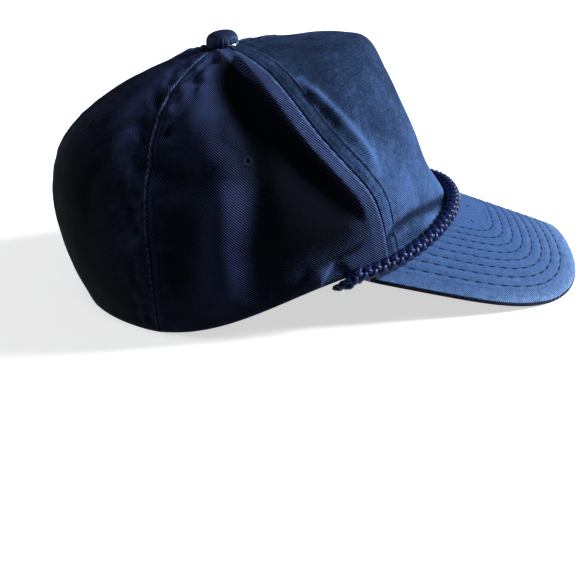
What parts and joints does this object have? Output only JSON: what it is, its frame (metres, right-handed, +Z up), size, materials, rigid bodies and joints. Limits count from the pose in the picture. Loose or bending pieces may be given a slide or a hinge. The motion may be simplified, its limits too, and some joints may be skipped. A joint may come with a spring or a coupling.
{
  "type": "snapback cap",
  "caption": "Soft snapback cap with a tall stiffened front panel, a curved stitched brim, a braided rope across the front, a covered button and a plastic snap strap at the back.",
  "frame": {"origin": "on the surface the cap rests on, under the middle of its outline", "axes": "+Z up; the brim points to -Y and the snap strap is at +Y; the wearer's right is -X"},
  "size_m": [0.1799, 0.259, 0.1231],
  "materials": {
    "crown_twill": "washed cotton twill, dark navy",
    "front_twill": "washed cotton twill, faded navy",
    "brim_twill": "faded navy cotton twill with darker stitching",
    "rope_cord": "satin braided cord",
    "band_cloth": "plain woven cotton",
    "strap_plastic": "satin moulded plastic"
  },
  "bodies": {
    "root": {"front_panel": "front_twill", "side_panel_right": "crown_twill", "side_panel_left": "crown_twill", "back_panel_right": "crown_twill", "back_panel_left": "crown_twill", "button": "front_twill", "brim": "brim_twill", "rope": "rope_cord", "sweatband": "band_cloth", "snap_strap": "strap_plastic"}
  },
  "joints": []
}
